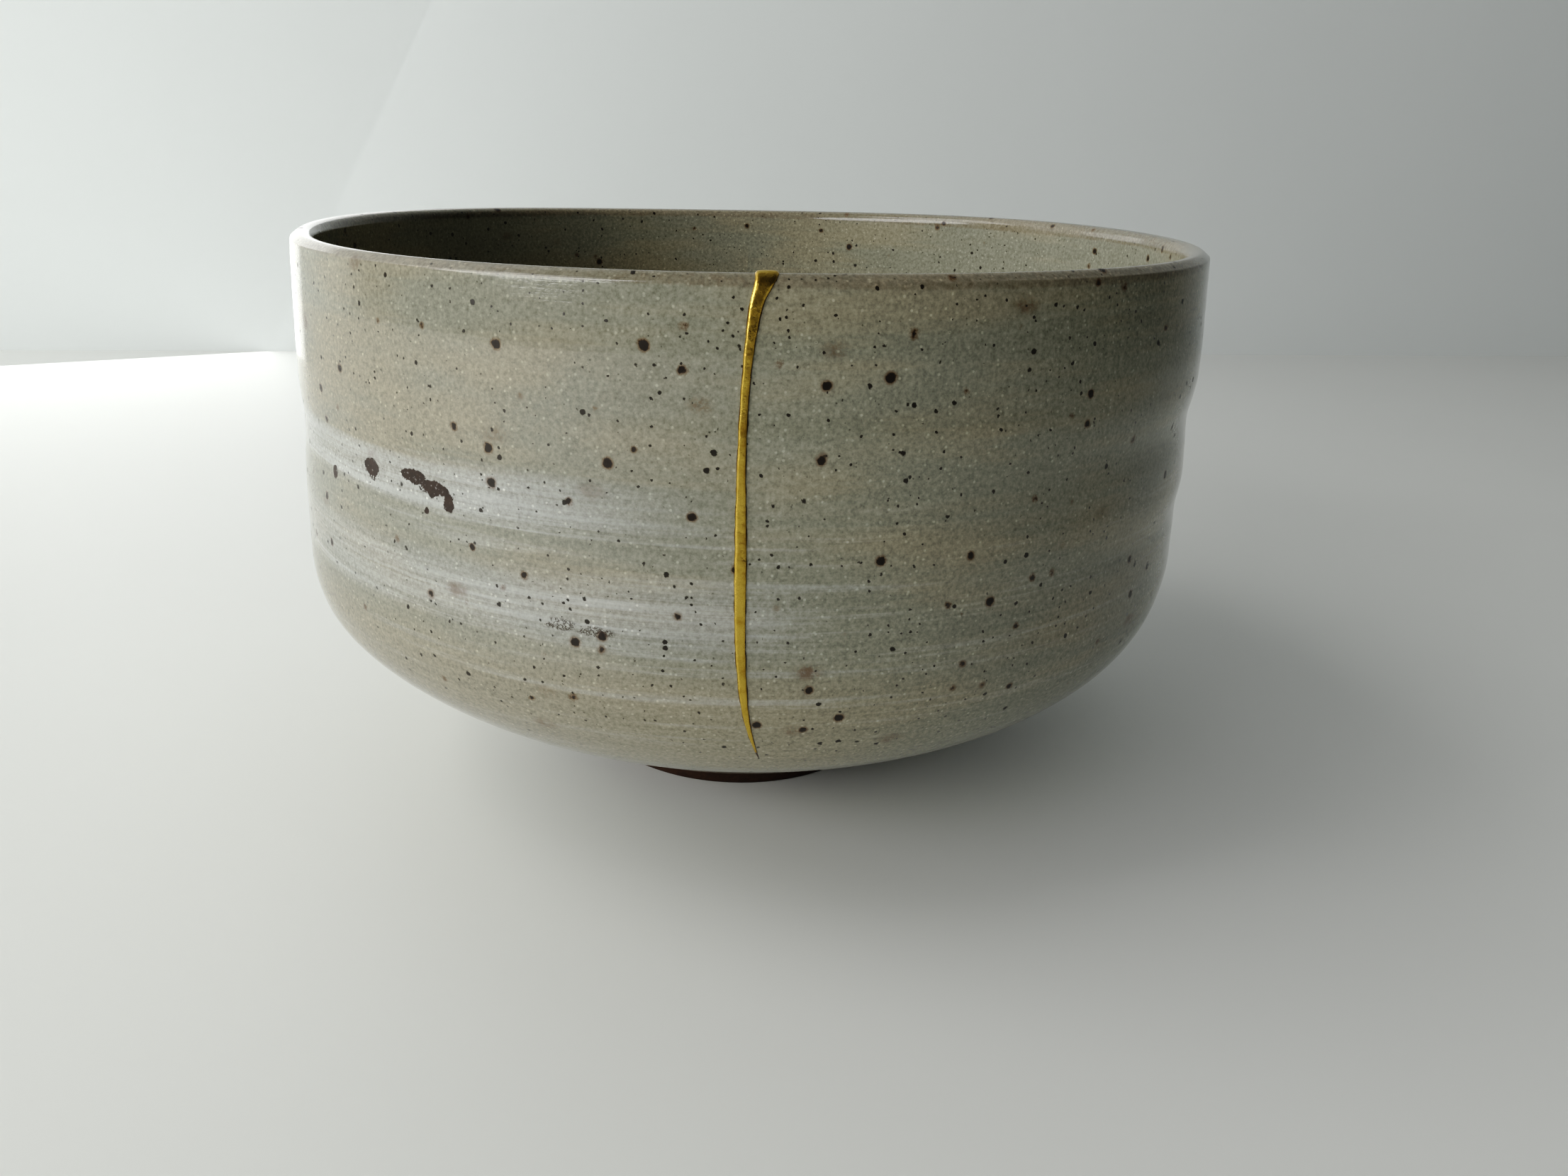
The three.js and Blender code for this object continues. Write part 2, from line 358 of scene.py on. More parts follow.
class Wall:
    """The bowl's section as a way that can be measured from the crest of the lip."""

    def __init__(self, form):
        self.form = form
        self.outer = outer_outline(form)
        self.inner = inner_outline(form)
        down_outside = self.outer[::-1]
        self.points = self.inner[::-1] + down_outside[1:]
        ways = [0]
        for one, next_one in zip(self.points, self.points[1:]):
            ways.append(ways[-1] + (next_one - one).length)
        crest = ways[len(self.inner) - 1]
        self.ways = [way - crest for way in ways]

    def place(self, way):
        """Radius and height at a way from the crest: positive down the outside, negative down the inside."""
        k = min(max(bisect_right(self.ways, way) - 1, 0), len(self.ways) - 2)
        part = (way - self.ways[k]) / (self.ways[k + 1] - self.ways[k])
        return self.points[k].lerp(self.points[k + 1], part)

    def out_of_clay(self, way):
        along = (self.place(way + SQUARE_REACH) - self.place(way - SQUARE_REACH)).normalized()
        return at(-along.y, along.x)

    def outer_radius(self, height):
        """The outside's radius at a height above its sloping base."""
        below = max((p for p in self.outer if p.y <= height), key=lambda p: p.y)
        return below.x

    def on_outside(self, azimuth, height):
        """A point of the outside from an azimuth in degrees and a height in metres."""
        radius = self.outer_radius(height)
        turn = radians(azimuth)
        return hand_thrown(self.form, Vector((sin(turn) * radius, -cos(turn) * radius, height)), True)


# ---------------------------------------------------------------- shader maths


class Value:
    """A shader socket that can be used in Python arithmetic."""

    def __init__(self, finish, socket):
        self.finish = finish
        self.socket = socket

    def maths(self, operation, *values):
        return self.finish.node("ShaderNodeMath", {"operation": operation}, dict(enumerate(values)))

    def __add__(self, other):
        return self.maths("ADD", self, other)

    def __radd__(self, other):
        return self.maths("ADD", other, self)

    def __sub__(self, other):
        return self.maths("SUBTRACT", self, other)

    def __rsub__(self, other):
        return self.maths("SUBTRACT", other, self)

    def __mul__(self, other):
        return self.maths("MULTIPLY", self, other)

    def __rmul__(self, other):
        return self.maths("MULTIPLY", other, self)

    def __truediv__(self, other):
        return self.maths("DIVIDE", self, other)

    def __rtruediv__(self, other):
        return self.maths("DIVIDE", other, self)

    def __pow__(self, other):
        return self.maths("POWER", self, other)

    def least(self, other):
        return self.maths("MINIMUM", self, other)

    def most(self, other):
        return self.maths("MAXIMUM", self, other)

    def size(self):
        return self.maths("ABSOLUTE", self)


class Finish:
    """One material, with the one method that adds any node to it."""

    def __init__(self, name, **constants):
        self.material = bpy.data.materials.new(name)
        self.material.use_nodes = True
        self.tree = self.material.node_tree
        self.shader = self.tree.nodes["Principled BSDF"]
        self.set(**constants)

    def feed(self, socket, value):
        if isinstance(value, Value):
            self.tree.links.new(value.socket, socket)
        else:
            socket.default_value = value

    def set(self, **values):
        """Feeds the shader's own sockets, named with underlines for spaces."""
        for name, value in values.items():
            self.feed(self.shader.inputs[name.replace("_", " ")], value)

    def node(self, kind, settings=None, inputs=None, output=0):
        node = self.tree.nodes.new(kind)
        for name, setting in (settings or {}).items():
            setattr(node, name, setting)
        for name, value in (inputs or {}).items():
            self.feed(node.inputs[name], value)
        return Value(self, node.outputs[output])

    def place(self):
        """The place on the piece, in millimetres."""
        metres = self.node("ShaderNodeTexCoord", output="Object")
        return scaled(metres, 1 / MM)

    def attribute(self, name):
        return self.node("ShaderNodeAttribute", {"attribute_name": name}, output="Fac")

    def relief(self, height, strength=1.0):
        """A normal bumped by a height in millimetres."""
        inputs = {"Height": height, "Distance": MM, "Strength": strength}
        return self.node("ShaderNodeBump", inputs=inputs)


def rgba(value):
    return value if isinstance(value, Value) else (*value, 1)


def scaled(vector, factor):
    settings = {"operation": "SCALE"}
    return vector.finish.node("ShaderNodeVectorMath", settings, {0: vector, "Scale": factor})


def stretched(vector, x, y, z):
    return vector.finish.node("ShaderNodeVectorMath", {"operation": "MULTIPLY"}, {0: vector, 1: (x, y, z)})


def shifted(vector, by):
    return vector.finish.node("ShaderNodeVectorMath", {"operation": "ADD"}, {0: vector, 1: by})


def parts(vector):
    return [vector.finish.node("ShaderNodeSeparateXYZ", inputs={0: vector}, output=k) for k in range(3)]


def cloud(vector, scale, detail=2.0, roughness=0.5):
    """Noise about 0, from about -0.5 to 0.5, with this many clouds to a millimetre."""
    inputs = {"Vector": vector, "Scale": scale, "Detail": detail, "Roughness": roughness}
    return vector.finish.node("ShaderNodeTexNoise", inputs=inputs) - 0.5


def grains(vector, scale):
    """Distance to the nearest of scattered grains, in cells, and a random number for each grain."""
    inputs = {"Vector": vector, "Scale": scale}
    cells = vector.finish.node("ShaderNodeTexVoronoi", inputs=inputs, output="Distance")
    colour_socket = cells.socket.node.outputs["Color"]
    chance = parts(Value(vector.finish, colour_socket))
    return cells, chance


def rise(value, low, high):
    settings = {"interpolation_type": "SMOOTHSTEP"}
    inputs = {"Value": value, "From Min": low, "From Max": high}
    return value.finish.node("ShaderNodeMapRange", settings, inputs)


def hump(value, low, high, soft):
    return rise(value, low - soft, low + soft) * (1 - rise(value, high - soft, high + soft))


def paint(base, over, amount):
    """One colour over another."""
    finish = amount.finish
    inputs = {0: amount, 6: rgba(base), 7: rgba(over)}
    return finish.node("ShaderNodeMix", {"data_type": "RGBA"}, inputs, output=2)


# ---------------------------------------------------------------- finishes

# Scattered iron specks, from the finest to the largest: cells to a millimetre, the share of cells that hold a
# speck, and the least and greatest radius in cells. Only the last kind bleeds into a rusty halo.
SPECK_KINDS = (
    (0.42, 0.60, 0.080, 0.15),
    (0.95, 0.62, 0.090, 0.19),
    (0.25, 0.60, 0.090, 0.14),
)
SMUDGE_CELLS = (0.10, 0.10, 0.17)  # cells to a millimetre along each axis: a smudge is wider than it is high
SMUDGE_REACH = 0.18  # radius of a smudge, in cells
SMUDGE_SHARE = 0.5  # the share of cells that hold one

# Places where the glaze skipped and bare clay shows: azimuth in degrees, height, half width and half height
# in millimetres.
GLAZE_SKIPS = (
    (-34.6, 54.1, 2.2, 0.9),
    (-31.6, 53.3, 2.3, 1.0),
    (-29.6, 52.1, 0.9, 1.1),
    (-41.6, 53.5, 1.7, 1.3),
    (-50.6, 50.9, 0.8, 1.0),
    (-32.6, 50.7, 0.45, 0.45),
)
SCUFFS = (
    (-17.2, 41.2, 2.2, 0.7),
    (-13.6, 40.9, 2.4, 0.6),
)


def near_patch(wall, place, azimuth, height, half_width, half_height):
    """Distance from the middle of a patch that is wider than it is high, in half sizes."""
    centre = wall.on_outside(azimuth, height * MM) / MM
    turn = radians(azimuth)
    squash = half_width / half_height
    about = shifted(place, -centre)
    along = (cos(turn), sin(turn), 0)
    dot = {"operation": "DOT_PRODUCT"}
    across = about.finish.node("ShaderNodeVectorMath", dot, {0: about, 1: along}, output="Value")
    up = parts(about)[2] * squash
    deep = about.finish.node(
        "ShaderNodeVectorMath", dot, {0: about, 1: (sin(turn), -cos(turn), 0)}, output="Value"
    )
    return ((across * across + up * up + deep * deep) ** 0.5) / half_width


def nearest(distances):
    least = distances[0]
    for distance in distances[1:]:
        least = least.least(distance)
    return least


def glazed_stoneware(settings, wall):
    look = settings.glaze
    finish = Finish("glazed_stoneware", IOR=1.5)
    place = finish.place()
    x, y, z = parts(place)
    outside = 1 - rise(finish.attribute("inside"), 0.4, 0.6)
    azimuth = finish.node("ShaderNodeMath", {"operation": "ARCTAN2"}, {0: x, 1: 0 - y}) * (180 / pi)
    radius = (x * x + y * y) ** 0.5
    lip_top = wall.form.height / MM

    # Clouds drawn out round the bowl by the wheel, and clouds that aren't.
    drift = cloud(stretched(place, 0.035, 0.035, 0.13), 1.0)
    flow = cloud(stretched(place, 0.022, 0.022, 0.8), 1.0, detail=4.0, roughness=0.65)
    lines = cloud(stretched(place, 0.035, 0.035, 3.0), 1.0, detail=2.0, roughness=0.6)
    ragged = cloud(place, 0.9, detail=4.0, roughness=0.72)
    mottle = cloud(place, 2.2, detail=3.0, roughness=0.7)
    fleck, fleck_chance = grains(place, 1.5)

    # Warm flushes and pale bands.
    level = z - x * 0.01 + flow * 3.4 + lines * 1.2
    warm = rise(drift + flow * 0.35, -0.06, 0.16)
    glaze = paint(look.grey, look.beige, warm * 0.8)
    left = 1 - rise(azimuth, -16, 2)
    flush = hump(level, 58.5, 69, 3.0) * left * rise(drift + ragged * 0.2, -0.2, 0.1)
    flush = flush.most(hump(level, 20, 37, 3.0) * (1 - rise(azimuth, 2, 30)))
    glaze = paint(glaze, look.beige, flush * 0.85)
    upper_band = hump(level, 51.7, 56.6, 0.9) * (1 - rise(azimuth, -26, 0))
    lower_band = hump(level, 39.6, 46.4, 1.5) * (1 - rise(azimuth, -6, 12)) * 0.6
    faint = rise(flow, 0.03, 0.2) * hump(z, 26, 54, 4.0) * 0.36
    feathered = rise(flow * 0.6 + lines * 0.5 + mottle * 0.25, -0.3, 0.12)
    band = (upper_band.most(lower_band) * feathered + faint).least(1) * outside
    glaze = paint(glaze, look.pale, band * 0.92)

    # The glaze thins and warms over the lip.
    lip = rise(z + ragged * 0.5, lip_top - 1.1, lip_top - 0.7)
    glaze = paint(glaze, look.lip, lip * (0.5 + rise(ragged, -0.1, 0.25) * 0.4))

    # Mottling, in the tone alone: light flecks, dark pinholes and the lines of the wheel.
    light = (1 - rise(fleck, 0.12, 0.3)) * rise(fleck_chance[0], 0.45, 0.8)
    pinhole = (1 - rise(fleck, 0.08, 0.2)) * (1 - rise(fleck_chance[1], 0.08, 0.14))
    lined = hump(z, 24, 52, 8.0)
    tone = 1 + flow * (0.16 + lined * 0.2) + lines * (0.06 + lined * 0.24)
    tone = tone + mottle * (1.5 - band * 0.8) + drift * 0.2 + light * 0.55 - pinhole * 0.5
    glaze = scaled(glaze, tone)

    # Iron specks of each kind, and brown smudges where iron bled through.
    offset = finish.node("ShaderNodeCombineXYZ", inputs={0: ragged, 1: mottle, 2: 0 - ragged})
    wobbly = finish.node("ShaderNodeVectorMath", inputs={0: place, 1: scaled(offset, 0.6)})
    found = []
    for density, common, low, high in SPECK_KINDS:
        distance, chance = grains(wobbly, density)
        wanted = rise(chance[0] + drift * 0.5, 1 - common, 1.04 - common)
        reach = low + (high - low) * chance[1]
        found.append(distance / (reach * wanted + 0.0001))
    speck = nearest(found)
    halo = (1 - rise(found[-1], 0.85, 1.6)) * 0.8
    blotch = rise(ragged + mottle * 0.5, -0.16, 0.1)
    distance, chance = grains(stretched(place, *SMUDGE_CELLS), 1.0)
    wanted = rise(chance[0], 1 - SMUDGE_SHARE, 1.04 - SMUDGE_SHARE)
    smudged = (1 - rise(distance, SMUDGE_REACH * 0.35, SMUDGE_REACH * 1.2)) * wanted
    halo = halo.most(smudged * blotch * (0.4 + chance[1] * 0.5))
    glaze = paint(glaze, look.rust, halo * 0.85)
    core = 1 - rise(speck, 0.8, 1.05)
    glaze = paint(glaze, look.speck, core * 0.96)

    # Bare clay where the glaze skipped, and on the foot.
    skips = nearest([near_patch(wall, wobbly, *skip) for skip in GLAZE_SKIPS])
    skip = (1 - rise(skips + ragged * 1.3 + mottle * 0.5, 0.84, 0.92)) * outside
    scuffs = nearest([near_patch(wall, place, *scuff) for scuff in SCUFFS])
    veined = 1 - rise((ragged + mottle * 0.4).size(), 0.015, 0.06)
    scuff = (1 - rise(scuffs, 0.75, 1.15)) * veined * outside
    foot = (1 - rise(radius + ragged * 3.5, 26.4, 26.9)) * (1 - rise(z, 8.5, 9)) * outside
    grit = ragged + mottle * 0.8
    crust = scaled(colour_of(finish, look.crust), 1 + grit * 1.6)
    crust = paint(crust, look.pale, rise(mottle - ragged * 0.3, 0.13, 0.2) * 0.45)
    clay = scaled(colour_of(finish, look.clay), 1 + grit * 1.4)
    glaze = paint(glaze, crust, skip)
    glaze = paint(glaze, look.crust, scuff * 0.85)
    glaze = paint(glaze, clay, foot)

    gloss = look.gloss + mottle * 0.06 + core * 0.25 + lip * 0.04
    roughness = gloss + (0.75 - gloss) * foot
    roughness = roughness + (0.4 - roughness) * skip

    # Relief: the orange peel of the glaze, and what the wheel left in it.
    height = mottle * 0.009 + lines * 0.004 + flow * 0.012
    finish.set(Base_Color=glaze, Roughness=roughness, Normal=finish.relief(height))
    return finish.material


def colour_of(finish, value):
    return finish.node("ShaderNodeCombineXYZ", inputs=dict(enumerate(value)))


def seam_gold(settings):
    look = settings.seam
    finish = Finish("seam_gold", Metallic=1.0)
    place = finish.place()
    grain = cloud(place, 5.0, detail=3.0, roughness=0.65)
    patches = cloud(place, 0.6, detail=3.0)
    thin = rise(patches + grain * 0.5, -0.05, 0.3)
    colour_now = paint(look.gold, look.deep_gold, thin * 0.7)
    roughness = 0.3 + grain * 0.2 + patches * 0.15
    height = cloud(place, 1.6, detail=2.0) * 0.05 + grain * 0.012
    finish.set(Base_Color=colour_now, Roughness=roughness, Normal=finish.relief(height))
    return finish.material


def seam_lacquer(settings):
    look = settings.seam
    finish = Finish("seam_lacquer", Roughness=0.25)
    place = finish.place()
    tone = 1 + cloud(place, 1.2, detail=3.0) * 0.9
    finish.set(Base_Color=scaled(colour_of(finish, look.lacquer), tone))
    return finish.material


def table_top(settings):
    finish = Finish("table_top", Specular_IOR_Level=0.35)
    place = finish.place()
    haze = cloud(place, 0.01, detail=2.0)
    tone = 1 + haze * 0.05
    finish.set(
        Base_Color=scaled(colour_of(finish, settings.studio.table), tone),
        Roughness=0.5 + haze * 0.05,
    )
    return finish.material


def wall_paint(settings):
    finish = Finish("wall_paint", Roughness=0.7, Specular_IOR_Level=0.2)
    place = finish.place()
    tone = 1 + cloud(place, 0.008, detail=2.0) * 0.04
    finish.set(Base_Color=scaled(colour_of(finish, settings.studio.wall), tone))
    return finish.material


# ---------------------------------------------------------------- pieces


def piece_of(bm, name, *materials):
    """A smooth-shaded object at the origin from a bmesh that already lies in its place."""
    mesh = bpy.data.meshes.new(name)
    for material in materials:
        mesh.materials.append(material)
    for face in bm.faces:
        face.smooth = True
    bm.to_mesh(mesh)
    bm.free()
    piece = bpy.data.objects.new(name, mesh)
    bpy.context.scene.collection.objects.link(piece)
    return piece


def throwing_marks(point):
    """How far the fingers left a point of the wall in or out, for a mark depth of 1."""
    drawn = Vector((point.x / 60, point.y / 60, point.z / 1.9)) / MM
    finer = Vector((point.x / 35 + 9, point.y / 35, point.z / 0.8)) / MM
    return noise.noise(drawn) + 0.4 * noise.noise(finer)


def dent_at(azimuth, height, radius):
    """The depth in millimetres of the small marks at a place on the outside."""
    depth = 0
    for turn, level, reach, deep in DENTS:
        across = radians(azimuth - turn) * radius / MM
        up = height / MM - level
        if abs(across) < 3 * reach and abs(up) < 3 * reach:
            depth += deep * exp(-(across * across + up * up) / (reach * reach))
    return depth


def thrown_bowl(settings):
    """The bowl: its section spun round the axis, then moved to where the hand left it."""
    form = settings.form
    wall = Wall(form)
    foot = foot_outline(form)
    outside = foot + wall.outer[1:]
    section = outside + wall.inner[1:]
    bm = bmesh.new()
    inside_layer = bm.verts.layers.float.new("inside")
    verts = []
    for k, point in enumerate(section):
        vert = bm.verts.new((0, -point.x, point.y))
        vert[inside_layer] = 0 if k < len(outside) else 1
        verts.append(vert)
    edges = [bm.edges.new(pair) for pair in zip(verts, verts[1:])]
    bmesh.ops.spin(
        bm,
        geom=verts + edges,
        cent=(0, 0, 0),
        axis=(0, 0, 1),
        angle=tau,
        steps=TURN_STEPS,
        use_merge=True,
    )
    bmesh.ops.remove_doubles(bm, verts=bm.verts, dist=MM / 1000)
    bmesh.ops.recalc_face_normals(bm, faces=bm.faces)
    for vert in bm.verts:
        radius = hypot(vert.co.x, vert.co.y)
        if radius < MM / 100:
            continue
        turn = atan2(vert.co.x, -vert.co.y)
        turn -= TURN_CROWDING * sin(turn)
        is_outside = vert[inside_layer] < 0.5
        point = Vector((sin(turn) * radius, -cos(turn) * radius, vert.co.z))
        on_wall = smoothstep(vert.co.z, 11 * MM, 20 * MM) * (1 - smoothstep(vert.co.z, 73 * MM, 75 * MM))
        move = throwing_marks(point) * form.mark_depth * (on_wall if is_outside else on_wall * 1.5)
        if is_outside:
            move -= dent_at(degrees(turn), vert.co.z, radius) * MM
        point = hand_thrown(form, point, is_outside)
        out = Vector((point.x, point.y, 0)).normalized()
        vert.co = point + out * move * (1 if is_outside else -1)
    return piece_of(bm, "stoneware_bowl", glazed_stoneware(settings, wall))


def along_stations(way):
    """Sway and width of the seam at a way along the section, in metres, smooth through its stations."""
    ways = [station[0] * MM for station in SEAM_STATIONS]
    last = len(ways) - 1
    k = min(max(bisect_right(ways, way) - 1, 0), last - 1)
    step = ways[k + 1] - ways[k]
    t = (way - ways[k]) / step
    values = []
    for column in (1, 2):
        def slope(i, column=column):
            low, high = max(i - 1, 0), min(i + 1, last)
            return (SEAM_STATIONS[high][column] - SEAM_STATIONS[low][column]) * MM / (ways[high] - ways[low])

        start, end = (SEAM_STATIONS[k + n][column] * MM for n in (0, 1))
        values.append(
            start * (1 + 2 * t) * (1 - t) ** 2
            + end * t * t * (3 - 2 * t)
            + step * (slope(k) * t * (1 - t) ** 2 - slope(k + 1) * t * t * (1 - t))
        )
    return values


# How unevenly the gold and the lacquer were brushed on.
BRUSH_WAVE = 1.7 * MM
BRUSH_RIPPLE = 0.6 * MM
RIPPLE_SHARE = 0.5
EDGE_WANDER = 0.045 * MM
CROWN_WANDER = 0.12
SKIRT_WANDER = 0.9
FULL_CROWN_WIDTH = 0.8 * MM  # a narrower seam stands less proud
SKIRT_RIGHT, SKIRT_LEFT = 1.3, 0.7  # the lacquer shows more at the right of the gold
LEAST_BED = 0.03 * MM
BED_SINK = 0.004 * MM
BED_ACROSS = 6
RIGHT_EDGE, LEFT_EDGE, CREST, RIGHT_SKIRT, LEFT_SKIRT = 3, 7, 11, 21, 29  # seeds


def wander(way, seed):
    """The unevenness of a brushed edge, from about -1 to 1."""
    wave = noise.noise(Vector((way / BRUSH_WAVE, seed, 0)))
    ripple = noise.noise(Vector((way / BRUSH_RIPPLE, 0, seed)))
    return wave + RIPPLE_SHARE * ripple


def bent_along_crack(bm, wall, ways, across, half_width_at, crown_at, root, material):
    """A flat slab from bmesh operators, bent onto the wall along the crack.

    Its x runs across the seam from -1 to 1, its y along the ways, and its z from the root to the crown.
    """
    before = set(bm.verts)
    grid = bmesh.ops.create_grid(bm, x_segments=across, y_segments=len(ways) - 1, size=1)
    top = list({face for vert in grid["verts"] for face in vert.link_faces})
    bottom = bmesh.ops.extrude_face_region(bm, geom=top, use_keep_orig=True)
    for vert in (v for v in bottom["geom"] if isinstance(v, bmesh.types.BMVert)):
        vert.co.z = -1
    made = [vert for vert in bm.verts if vert not in before]
    for vert in made:
        step = (vert.co.y + 1) / 2 * (len(ways) - 1)
        way = ways[round(step)]
        sway, _ = along_stations(way)
        place = wall.place(way)
        out = wall.out_of_clay(way)
        side = vert.co.x
        height = crown_at(way, side) if vert.co.z > -0.5 else -root
        turn = (sway + side * half_width_at(way, side)) / place.x
        radius = place.x + out.x * height
        point = Vector((sin(turn) * radius, -cos(turn) * radius, place.y + out.y * height))
        vert.co = hand_thrown(wall.form, point, way > 0)
    faces = {face for vert in made for face in vert.link_faces}
    for face in faces:
        face.material_index = material
    bmesh.ops.recalc_face_normals(bm, faces=list(faces))


def gold_and_lacquer(settings):
    """The mended seam: a bead of gold over a thin skirt of dark lacquer."""
    wall = Wall(settings.form)
    crown = settings.seam.crown
    first, last = (SEAM_STATIONS[k][0] * MM for k in (0, -1))
    steps = round((last - first) / SEAM_SPACING)
    gold_ways = [first + (last - first) * k / steps for k in range(steps + 1)]

    def gold_half_width(way, side):
        _, width = along_stations(way)
        ragged = EDGE_WANDER * wander(way, RIGHT_EDGE if side > 0 else LEFT_EDGE)
        return max(width / 2 + ragged, width / 4)

    def gold_crown(way, side):
        _, width = along_stations(way)
        full = crown * min(1, width / FULL_CROWN_WIDTH) * (1 + CROWN_WANDER * wander(way, CREST))
        return max(full, 0) * (1 - abs(side) ** GOLD_SQUARENESS) ** 0.5 + LACQUER_PROUD / 2

    bed_last = last + LACQUER_PAST_TIP
    bed_steps = round((bed_last - first) / SEAM_SPACING)
    bed_ways = [first + (bed_last - first) * k / bed_steps for k in range(bed_steps + 1)]

    def bed_half_width(way, side):
        _, width = along_stations(min(way, last))
        past = smoothstep(way, last - 1 * MM, bed_last)
        ragged = EDGE_WANDER * wander(way, RIGHT_EDGE if side > 0 else LEFT_EDGE)
        uneven = 1 + SKIRT_WANDER * wander(way, RIGHT_SKIRT if side > 0 else LEFT_SKIRT)
        skirt = LACQUER_SKIRT * uneven * (SKIRT_RIGHT if side > 0 else SKIRT_LEFT)
        half_width = width / 2 * (1 - past * 0.6) + ragged + max(skirt, 0) * (1 - past * 0.5)
        return max(half_width, LEAST_BED)

    def bed_crown(way, side):
        return LACQUER_PROUD * (1 - side * side) ** 0.5 - BED_SINK

    bm = bmesh.new()
    bent_along_crack(bm, wall, gold_ways, SEAM_ACROSS, gold_half_width, gold_crown, SEAM_ROOT, 0)
    bent_along_crack(bm, wall, bed_ways, BED_ACROSS, bed_half_width, bed_crown, SEAM_ROOT / 2, 1)
    return piece_of(bm, "gold_seam_bead", seam_gold(settings), seam_lacquer(settings))


# ---------------------------------------------------------------- the stage

CAMERA_LENS = 24.97
CAMERA_PITCH = radians(21.7)
CAMERA_ROLL = radians(1.6)
CAMERA_SHIFT = 0.029
WALL_TURN = radians(8.1)
TONE_CURVE = ((0.03, 0.012), (0.08, 0.06), (0.2, 0.215), (0.5, 0.52))


def flat_sheet(name, half_size, centre, turn, material):
    bm = bmesh.new()
    bmesh.ops.create_grid(bm, x_segments=1, y_segments=1, size=half_size)
    bmesh.ops.transform(bm, matrix=Matrix.Translation(centre) @ turn, verts=bm.verts)
    sheet = piece_of(bm, name, material)
    return sheet
    return sheet


def soft_light(name, towards, distance, size, power, tint=(1, 1, 1)):
    """A rectangular light that hangs at a distance in a direction from the bowl and faces it."""
    light = bpy.data.lights.new(name, "AREA")
    light.shape = "RECTANGLE"
    light.size, light.size_y = size
    light.energy = power
    light.color = tint
    lamp = bpy.data.objects.new(name, light)
    azimuth, elevation = (radians(angle) for angle in towards)
    direction = Vector((sin(azimuth) * cos(elevation), -cos(azimuth) * cos(elevation), sin(elevation)))
    lamp.location = direction * distance
    lamp.rotation_euler = direction.to_track_quat("Z", "Y").to_euler()
    bpy.context.scene.collection.objects.link(lamp)
    return lamp


def develop(view):
    """Plain colours, with deeper shadows as a camera gives them."""
    view.view_transform = "Standard"
    view.use_curve_mapping = True
    tone = view.curve_mapping.curves[3]
    for shade, seen in TONE_CURVE:
        tone.points.new(shade, seen)
    view.curve_mapping.update()


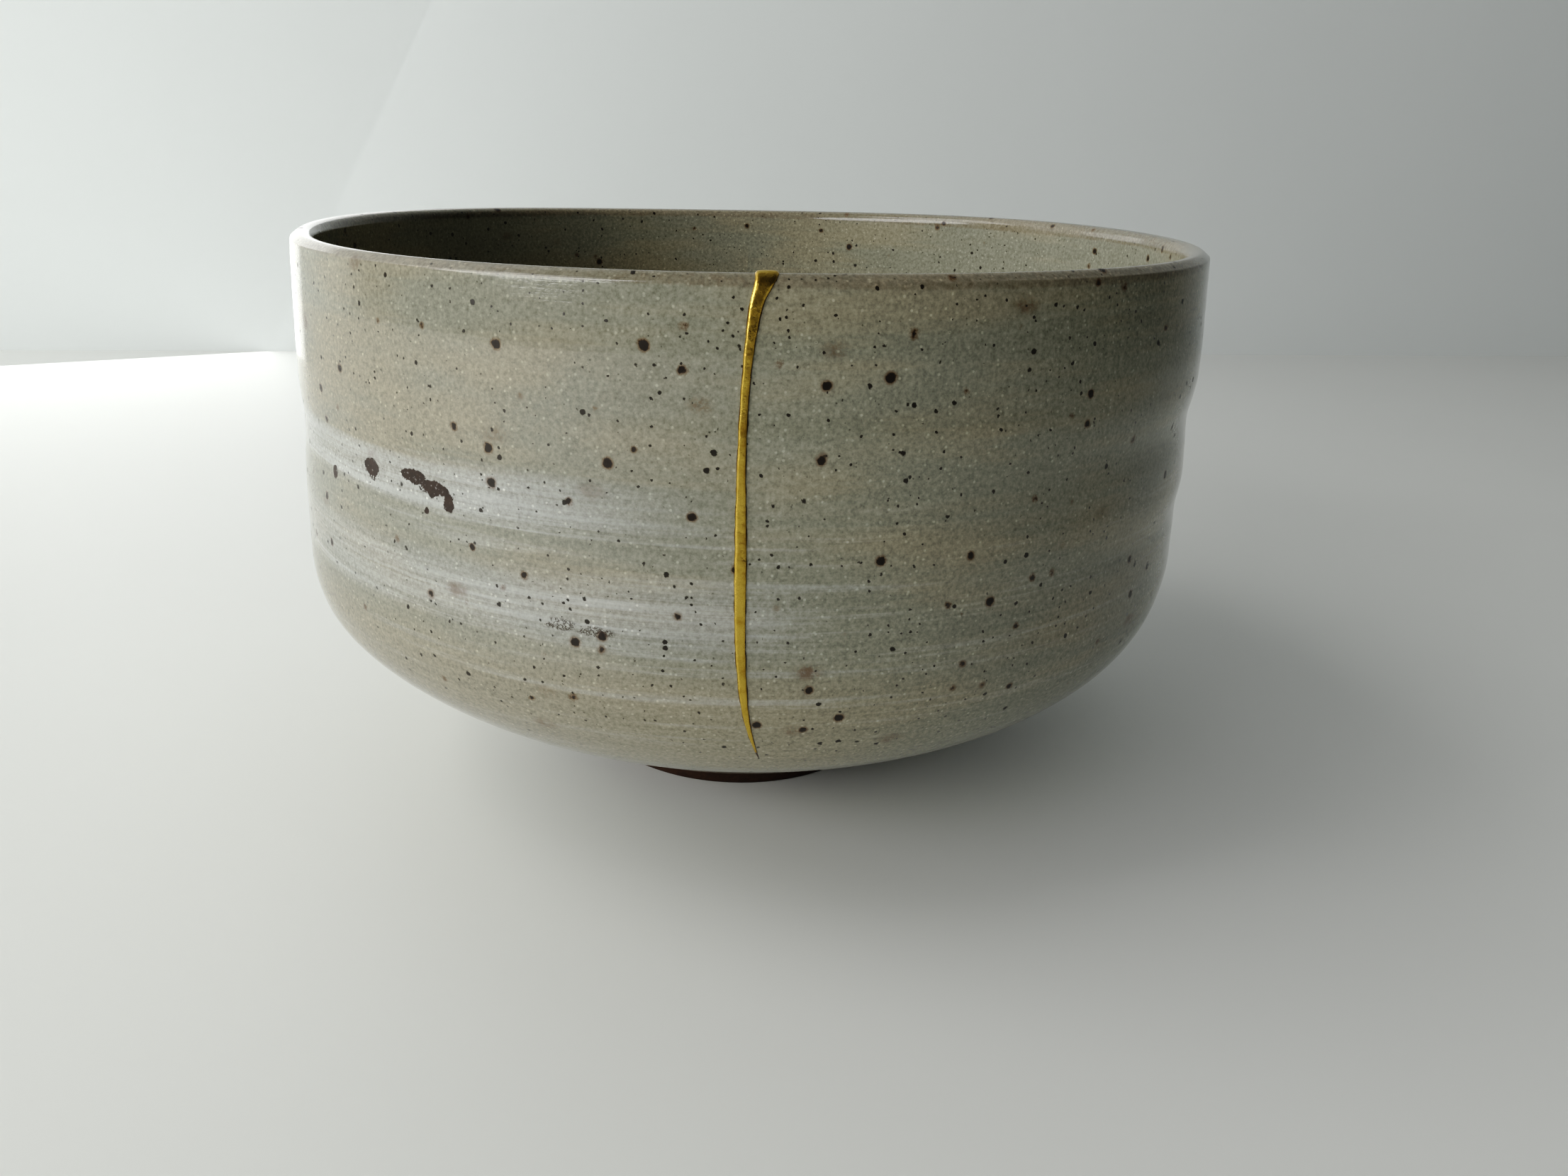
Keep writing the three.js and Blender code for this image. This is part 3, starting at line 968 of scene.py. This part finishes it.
def build_stage(settings):
    studio = settings.studio
    table = flat_sheet("table", 2.0, (0, 0, 0), Matrix.Identity(4), table_top(settings))
    upright = Matrix.Rotation(WALL_TURN, 4, "Z") @ Matrix.Rotation(pi / 2, 4, "X")
    wall = flat_sheet("wall", 2.0, (0, studio.wall_distance, 0), upright, wall_paint(settings))

    stage_only = bpy.data.collections.new("lit_by_the_ceiling")
    for sheet in (table, wall):
        stage_only.objects.link(sheet)

    world = bpy.data.worlds.new("room")
    world.use_nodes = True
    background = world.node_tree.nodes["Background"]
    background.inputs["Color"].default_value = (0.80, 0.86, 0.90, 1)
    background.inputs["Strength"].default_value = 0.04
    bpy.context.scene.world = world
    soft_light("window_left", (-80, 45), 1.0, (0.6, 0.6), 3.9, (1.0, 1.0, 0.97))
    front = soft_light("window_front", (-51, 21.5), 1.0, (0.95, 0.42), 6.4, (1.0, 1.0, 0.98))
    front.data.shape = "ELLIPSE"
    soft_light("far_window", (-150, 12), 0.38, (0.3, 0.3), 0.3)
    ceiling = soft_light("ceiling", (60, 70), 1.3, (1.6, 1.6), 1.35)
    ceiling.light_linking.receiver_collection = stage_only

    camera = bpy.data.cameras.new("camera")
    camera.lens = CAMERA_LENS
    camera.sensor_width = 36
    camera.clip_start = 0.005
    camera.shift_x = CAMERA_SHIFT
    eye = bpy.data.objects.new("camera", camera)
    aim = Matrix.Rotation(pi / 2 - CAMERA_PITCH, 4, "X") @ Matrix.Rotation(CAMERA_ROLL, 4, "Z")
    eye.matrix_world = Matrix.Translation((0, -studio.eye_distance, studio.eye_height)) @ aim
    bpy.context.scene.collection.objects.link(eye)
    bpy.context.scene.camera = eye
    develop(bpy.context.scene.view_settings)


# ---------------------------------------------------------------- operators, panel and registration


class TEABOWL_OT_bowl(bpy.types.Operator):
    """Throw and glaze the stoneware bowl"""

    bl_idname = "teabowl.bowl"
    bl_label = "Stoneware bowl"

    def execute(self, context):
        bowl = thrown_bowl(context.scene.tea_bowl)
        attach(bowl, "root")
        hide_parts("bowl")
        return {"FINISHED"}


class TEABOWL_OT_seam(bpy.types.Operator):
    """Mend the crack with lacquer and gold"""

    bl_idname = "teabowl.seam"
    bl_label = "Gold seam"

    def execute(self, context):
        seam = gold_and_lacquer(context.scene.tea_bowl)
        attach(seam, "root")
        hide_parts("gold_seam")
        return {"FINISHED"}


class TEABOWL_OT_stage(bpy.types.Operator):
    """Set the table, the wall behind, the lights and the camera"""

    bl_idname = "teabowl.stage"
    bl_label = "Table, light and camera"

    def execute(self, context):
        build_stage(context.scene.tea_bowl)
        return {"FINISHED"}


OPERATORS = (TEABOWL_OT_bowl, TEABOWL_OT_seam, TEABOWL_OT_stage)


class TEABOWL_PT_panel(bpy.types.Panel):
    bl_idname = "TEABOWL_PT_panel"
    bl_label = "Tea bowl"
    bl_space_type = "VIEW_3D"
    bl_region_type = "UI"
    bl_category = "Tea bowl"

    def draw(self, context):
        for operator in OPERATORS:
            self.layout.operator(operator.bl_idname)
        settings = context.scene.tea_bowl
        for group in (settings.form, settings.glaze, settings.seam, settings.studio):
            box = self.layout.box()
            for name in group.__annotations__:
                box.prop(group, name)


CLASSES = (BowlForm, GlazeLook, SeamLook, StudioLook, TeaBowlSettings, *OPERATORS, TEABOWL_PT_panel)


def register():
    for item in CLASSES:
        bpy.utils.register_class(item)
    bpy.types.Scene.tea_bowl = bpy.props.PointerProperty(type=TeaBowlSettings)


def unregister():
    del bpy.types.Scene.tea_bowl
    for item in reversed(CLASSES):
        bpy.utils.unregister_class(item)


def main():
    register()
    bpy.ops.teabowl.bowl()
    bpy.ops.teabowl.seam()
    bpy.ops.teabowl.stage()


if __name__ == "__main__":
    main()
